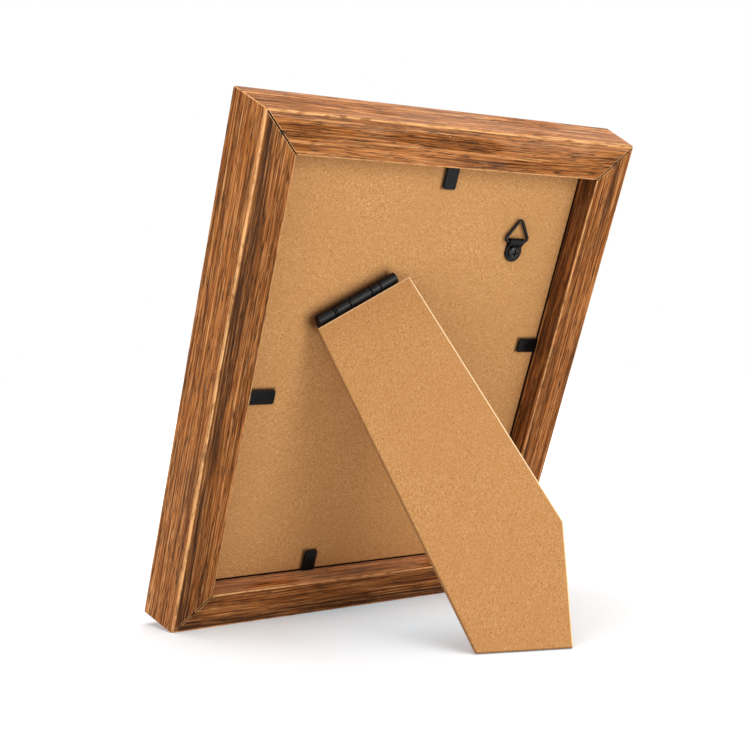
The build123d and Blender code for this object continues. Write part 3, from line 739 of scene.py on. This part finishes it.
def folded_strap():
    """A strip of sheet carried along its fold: under the screw, round the eye on a circle, down a slope that touches
    it and back over the screw. Its half width is a half circle below the screw and narrows on a smoothstep above it
    to the fold, which sits a little to the left."""
    below = -STRAP_END * np.cos(np.linspace(0.06, math.pi / 2, 16))
    flank = np.linspace(0, BAR_RISE, 20)[1:]
    middle = EYE - STRAP_SHEET / 2
    bend = np.linspace(-math.pi / 2, math.pi / 2 + FOLD_SLOPE, 23)[1:]
    round_y, round_z = BAR_RISE + middle * np.cos(bend), EYE + middle * np.sin(bend)
    fall = np.linspace(0, (round_z[-1] - 1.5 * STRAP_SHEET) / math.tan(FOLD_SLOPE), 13)[1:]
    back = np.linspace(round_y[-1] - fall[-1], 0, 8)[1:]
    y = np.concatenate([below, flank, round_y, round_y[-1] - fall, back, below[-2::-1]])
    low = np.full(len(below) + len(flank), STRAP_SHEET / 2)
    high = np.full(len(back) + len(below) - 1, 1.5 * STRAP_SHEET)
    z = np.concatenate([low, round_z, round_z[-1] - fall * math.tan(FOLD_SLOPE), high])
    run = np.gradient(np.stack([y, z], 1), axis=0)
    run /= np.linalg.norm(run, axis=1, keepdims=True)
    half = np.sqrt(np.clip(STRAP_END**2 - np.clip(y, -STRAP_END, 0) ** 2, 0.01, None))
    rise = np.clip(y / NARROW_OVER, 0, 1)
    half = half + (STRAP_HALF - STRAP_END) * rise**2 * (3 - 2 * rise)
    edge = rounded_outline(((-1, -1), (1, -1), (1, 1), (-1, 1)), (0.3,) * 4, 0.5, 0.12)
    wide, thick = edge[:, 0], edge[:, 1] * STRAP_SHEET / 2
    x = np.sign(wide) * np.clip(half[:, None] - 0.4 * (1 - np.abs(wide)) / 0.3, 0, None)
    x = np.where(np.abs(wide) > 0.69, x, wide / 0.7 * np.clip(half[:, None] - 0.4, 0, None))
    right = HANGER_X + x - FOLD_SHIFT * rise[:, None]
    up = HANGER_Y + y[:, None] - run[:, 1:] * thick
    points = stand(right, up, z[:, None] + run[:, :1] * thick - BOARD_DEPTH)
    count = len(edge)
    last = (len(y) - 1) * count
    ends = (range(count), range(last + count - 1, last - 1, -1))
    return points, rings(len(y), count), ends


strap = piece("folded_strap", *folded_strap())
strap.data.materials.append(black_paint)
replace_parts(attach(strap, "frame"), "hanger_strap")

wire_line = rounded_outline(RING_CORNERS, (RING_BEND,) * 3, 0.6, 0.3)
turn = np.linspace(0, 2 * math.pi, 21)[:-1, None, None]
round_wire = wire_line + inward(wire_line) * WIRE * np.cos(turn)
tall = np.broadcast_to(EYE + WIRE * np.sin(turn[..., 0]), round_wire.shape[:2])
points = stand(HANGER_X + round_wire[..., 0], HANGER_Y + BAR_RISE + round_wire[..., 1], tall - BOARD_DEPTH)
quads = rings(21, len(wire_line)) % (20 * len(wire_line))
ring = piece("wire_triangle", points, quads)

brown_black, shader, add, wire = finish("brown_black_wire")
place = add("TexCoord").outputs["Object"]
mist = grain(add, place, (700, 700, 700), 3.0, 0.6)
wire(shades(add, mist, ((0.3, tint(11, 8, 6)), (0.7, tint(22, 16, 12)))), shader.inputs["Base Color"])
wire(between(add, mist, 0.3, 0.7, 0.2, 0.32), shader.inputs["Roughness"])
shader.inputs["Specular IOR Level"].default_value = 0.22
ring.data.materials.append(brown_black)
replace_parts(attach(ring, "ring"), "hanger_ring")

head = np.linspace(0, 1, 34)
shank = ((0.02, -2.4), (0.5, -2.3), (1.45, -1.2), (1.45, 0.0), (1.45, 1.6))
rim = ((3.5, 1.62), (3.68, 1.75), (HEAD_RADIUS, HEAD_SEAT))
under = np.array(shank + rim)
dome_height = HEAD_SEAT + HEAD_DOME * np.sin(head * math.pi / 2)
dome = np.stack([HEAD_RADIUS * np.cos(head * math.pi / 2), dome_height], 1)[1:-1]
turned = np.concatenate([under, dome])
turn = np.linspace(0, 2 * math.pi, 97)[:-1]
x, y = turned[:, :1] * np.cos(turn), turned[:, :1] * np.sin(turn)
arm = np.minimum(np.abs(x), np.abs(y)), np.maximum(np.abs(x), np.abs(y))
slot_depth = CROSS_DEPTH * np.clip((CROSS_HALF - arm[0]) / 0.22, 0, 1)
slot_depth = slot_depth * np.clip((CROSS_LONG - arm[1]) / 0.35, 0, 1)
z = turned[:, 1:] - slot_depth * (turned[:, 1:] > 2.6)
tip, crown = np.array([[0, 0, -2.42]]), np.array([[0, 0, 2.4]])
flat = np.concatenate([tip, np.stack([x, y, z], -1).reshape(-1, 3), crown])
rows, count = len(turned), len(turn)
start, last = 1 + np.arange(count), 1 + (rows - 1) * count + np.arange(count)
fans = [(0, b, a) for a, b in zip(start.tolist(), np.roll(start, -1).tolist())]
fans += [(len(flat) - 1, a, b) for a, b in zip(last.tolist(), np.roll(last, -1).tolist())]
points = stand(HANGER_X - SCREW_SHIFT + flat[:, 0], HANGER_Y + flat[:, 1], flat[:, 2] - BOARD_DEPTH)
screw = piece("pan_head_screw", points, 1 + rings(rows, count), fans)
blacked_steel, shader, add, wire = finish("blacked_steel")
place = add("TexCoord").outputs["Object"]
mist = grain(add, place, (900, 900, 900), 3.0, 0.6)
wire(shades(add, mist, ((0.3, tint(8, 8, 9)), (0.7, tint(16, 16, 17)))), shader.inputs["Base Color"])
wire(between(add, mist, 0.3, 0.7, 0.12, 0.18), shader.inputs["Roughness"])
shader.inputs["Specular IOR Level"].default_value = 0.36
screw.data.materials.append(blacked_steel)
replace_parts(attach(screw, "frame"), "hanger_screw")

# The studio: a white sweep under three soft lamps, a broad one overhead, one behind the camera on its right and a
# weaker one on its left. The white room and the far floor show as white to the eye and in gloss and glass.
floor_points = np.array([(-3, -3, 0), (3, -3, 0), (3, 3, 0), (-3, 3, 0)], float)
floor_mesh = bpy.data.meshes.new("studio_floor")
floor_mesh.from_pydata(floor_points.tolist(), [], [(0, 1, 2, 3)])
floor = bpy.data.objects.new("studio_floor", floor_mesh)
bpy.context.scene.collection.objects.link(floor)
white_sweep, shader, add, wire = finish("white_sweep")
shader.inputs["Base Color"].default_value = (0.90, 0.915, 0.93, 1)
shader.inputs["Roughness"].default_value = 0.7
shader.inputs["Specular IOR Level"].default_value = 0.1
place = add("TexCoord").outputs["Object"]
# The floor glows for camera, glossy and transmission rays: painted light, strongest right under the frame where it
# lifts the frame's shadow, least 8 to 13 cm out, rising to plain white far off; near the frame the glow is blue,
# cooling the shadow's warm tint.
far = add("VectorMath", {0: place}, operation="LENGTH").outputs["Value"]
path = add("LightPath").outputs
seen = either(add, path["Is Camera Ray"], either(add, path["Is Glossy Ray"], path["Is Transmission Ray"]))
near, round_it, away = (0.48,) * 3 + (1,), (0.19,) * 3 + (1,), (0.32,) * 3 + (1,)
bright = shades(add, far, ((0.0, near), (0.08, round_it), (0.13, round_it), (0.3, away), (0.9, (1, 1, 1, 1))))
glow = times(add, seen, bright)
wire(glow, shader.inputs["Emission Strength"])
cool = shades(add, far, ((0.06, (0.62, 0.86, 1.0, 1)), (0.16, (1, 1, 1, 1))))
wire(cool, shader.inputs["Emission Color"])
floor_mesh.materials.append(white_sweep)

room = bpy.data.worlds.new("white_room")
bpy.context.scene.world = room
room.use_nodes = True
tree = room.node_tree
path = tree.nodes.new("ShaderNodeLightPath")
level = tree.nodes.new("ShaderNodeMapRange")
level.inputs["To Min"].default_value = 0.30
level.inputs["To Max"].default_value = 1.0
shown = path.outputs["Is Camera Ray"]
for ray in ("Is Glossy Ray", "Is Transmission Ray"):
    either_ray = tree.nodes.new("ShaderNodeMath")
    either_ray.operation = "MAXIMUM"
    tree.links.new(shown, either_ray.inputs[0])
    tree.links.new(path.outputs[ray], either_ray.inputs[1])
    shown = either_ray.outputs[0]
tree.links.new(shown, level.inputs["Value"])
tree.links.new(level.outputs["Result"], tree.nodes["Background"].inputs["Strength"])
tree.nodes["Background"].inputs["Color"].default_value = (1, 1, 1, 1)


def lamp(name, place, aim, size, power):
    """A square soft lamp at a place, turned to face a point."""
    light = bpy.data.lights.new(name, "AREA")
    light.size = size
    light.energy = power
    made = bpy.data.objects.new(name, light)
    made.location = place
    away = np.array(place) - np.array(aim)
    made.rotation_euler = (math.acos(away[2] / np.linalg.norm(away)), 0, math.atan2(away[0], -away[1]))
    bpy.context.scene.collection.objects.link(made)


lamp("top_lamp", (0.0, 0.2, 1.7), (0, 0.1, 0), 1.6, 23.0)
lamp("right_lamp", (-0.25, 1.36, 0.48), (0, 0, 0.13), 0.6, 7.0)
lamp("left_lamp", (1.2, 0.40, 0.50), (0, 0, 0.13), 0.9, 6.2)

# The camera: behind the frame and to its left, a little above the table, on a 62 mm lens.
SENSOR = 36.0
IMAGE_PIXELS, FOCAL_PIXELS = 750, 1294.13
view = bpy.data.cameras.new("camera")
view.lens = SENSOR * FOCAL_PIXELS / IMAGE_PIXELS
view.sensor_width = SENSOR
camera = bpy.data.objects.new("camera", view)
camera.location = (0.43640, 0.60062, 0.17572)
camera.rotation_euler = (math.radians(90 - 2.3706), 0, math.radians(145.794))
bpy.context.scene.collection.objects.link(camera)
bpy.context.scene.camera = camera
bpy.context.scene.view_settings.view_transform = "Standard"
